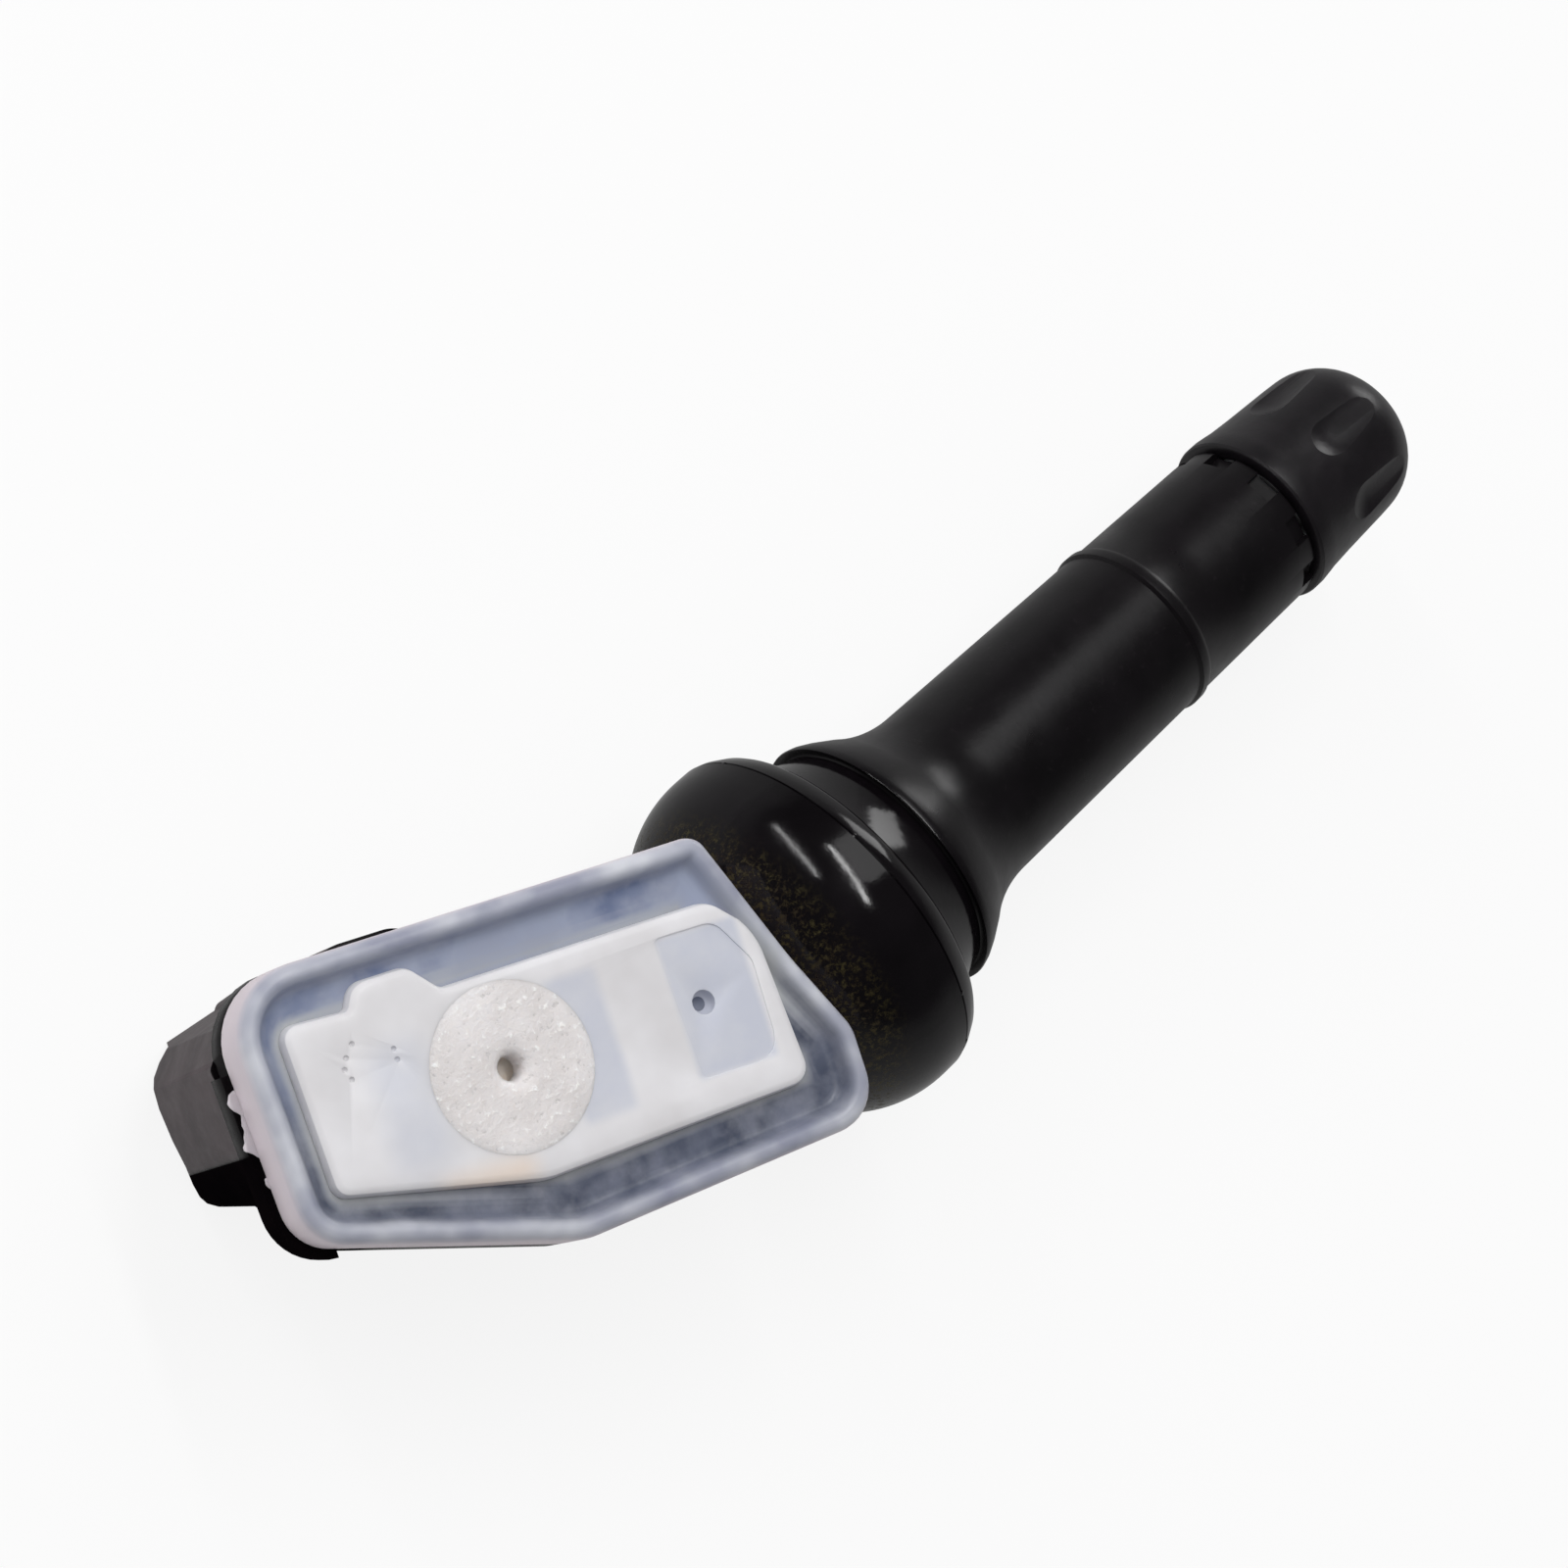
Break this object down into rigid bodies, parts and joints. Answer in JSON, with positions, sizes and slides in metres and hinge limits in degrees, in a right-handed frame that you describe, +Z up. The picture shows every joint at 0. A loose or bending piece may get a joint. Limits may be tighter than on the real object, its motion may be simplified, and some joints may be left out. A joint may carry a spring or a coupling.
{
  "type": "tyre pressure sensor",
  "caption": "Tyre pressure sensor: translucent-covered housing fixed at an angle behind a black snap-in rubber valve with a fluted screw cap.",
  "frame": {"origin": "on the ground, at the middle of the part's box seen from above", "axes": "+X along the valve's stem towards the cap, +Z up out of the housing's cover, the part lies on its back"},
  "size_m": [0.0782, 0.0266, 0.0197],
  "materials": {
    "rubber_black": "satin moulded rubber",
    "alloy": "turned",
    "brass": "turned",
    "seal_red": "matte",
    "rubber_inner": "matte",
    "spring_steel": "drawn wire",
    "cap_plastic": "matte moulded plastic",
    "screw_steel": "zinc plated",
    "tray_plastic": "matte moulded plastic, glossy below the lip",
    "cover_plastic": "milky translucent plastic",
    "board": "solder mask",
    "cell_can": "satin",
    "strip": "satin",
    "chip": "matte",
    "soft_ring": "matte",
    "filter": "matte",
    "ferrite": "matte",
    "ceramic": "matte",
    "copper": "drawn wire",
    "compound": "cast"
  },
  "bodies": {
    "sensor": {"valve_rubber": "rubber_black", "valve_stem": "alloy", "core_body": "brass", "core_barrel_seal": "seal_red", "core_spring": "spring_steel", "retaining_screw": "screw_steel", "tray": "tray_plastic", "cover": "cover_plastic", "circuit_board": "board", "battery_cell": "cell_can", "battery_tab_top": "strip", "battery_tab_bottom": "strip", "sensor_chip": "chip", "port_gasket": "soft_ring", "port_filter": "filter", "lf_coil": "ferrite", "crystal": "strip", "capacitors": "ceramic", "antenna": "copper", "potting": "compound"},
    "cap_carrier": {"cap_seal": "rubber_inner"},
    "cap": {"valve_cap": "cap_plastic"},
    "pin": {"core_pin": "brass", "core_cup": "brass", "core_cup_seal": "rubber_inner"}
  },
  "joints": [
    {"name": "cap_travel", "type": "slide", "parent": "sensor", "child": "cap_carrier", "axis": [1, 0, 0], "range_m": [0, 0.0086]},
    {"name": "cap_turn", "type": "hinge", "parent": "cap_carrier", "child": "cap", "pos_m": [0.03139, -0.00344, 0.00985], "axis": [1, 0, 0], "range_deg": [0, 3900]},
    {"name": "pin_press", "type": "slide", "parent": "sensor", "child": "pin", "axis": [-1, 0, 0], "range_m": [0, 0.0015], "stiffness_N_per_m": 1500, "springref_m": -0.0015}
  ],
  "couplings": [
    {"joint": "cap_turn", "follows": "cap_travel", "rad_per_m": 7913.3}
  ]
}
